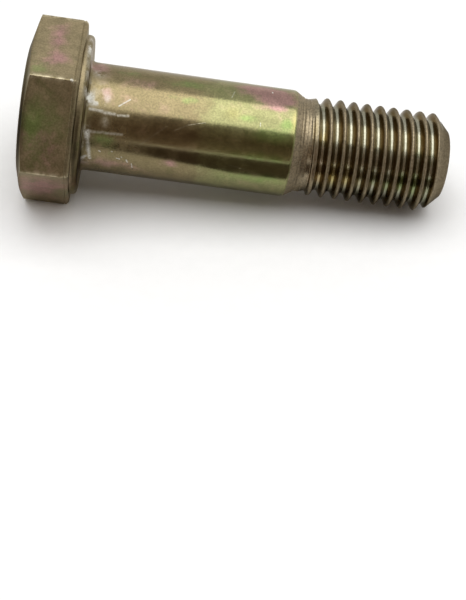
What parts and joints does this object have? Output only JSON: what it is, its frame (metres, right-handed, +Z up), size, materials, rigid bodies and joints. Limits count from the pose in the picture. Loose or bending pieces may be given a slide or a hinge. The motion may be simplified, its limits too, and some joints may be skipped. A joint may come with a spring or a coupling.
{
  "type": "hex bolt",
  "caption": "Hex head bolt with a chamfered head, an integral washer face, a plain shank and a smaller right-hand thread with a chamfered tip, lying on its side.",
  "frame": {"origin": "on the ground, under the middle of the lying bolt's bounding box", "axes": "+X from the head towards the tip, seen from above; +Z up; the bolt's own axis lies in the XZ plane and falls 4.9 degrees towards the tip"},
  "size_m": [0.0334, 0.0144, 0.0128],
  "materials": {
    "yellow_zinc_plate": "yellow passivated zinc plate on steel, satin, with pink and green tints"
  },
  "bodies": {
    "root": {"hex_bolt": "yellow_zinc_plate"}
  },
  "joints": []
}
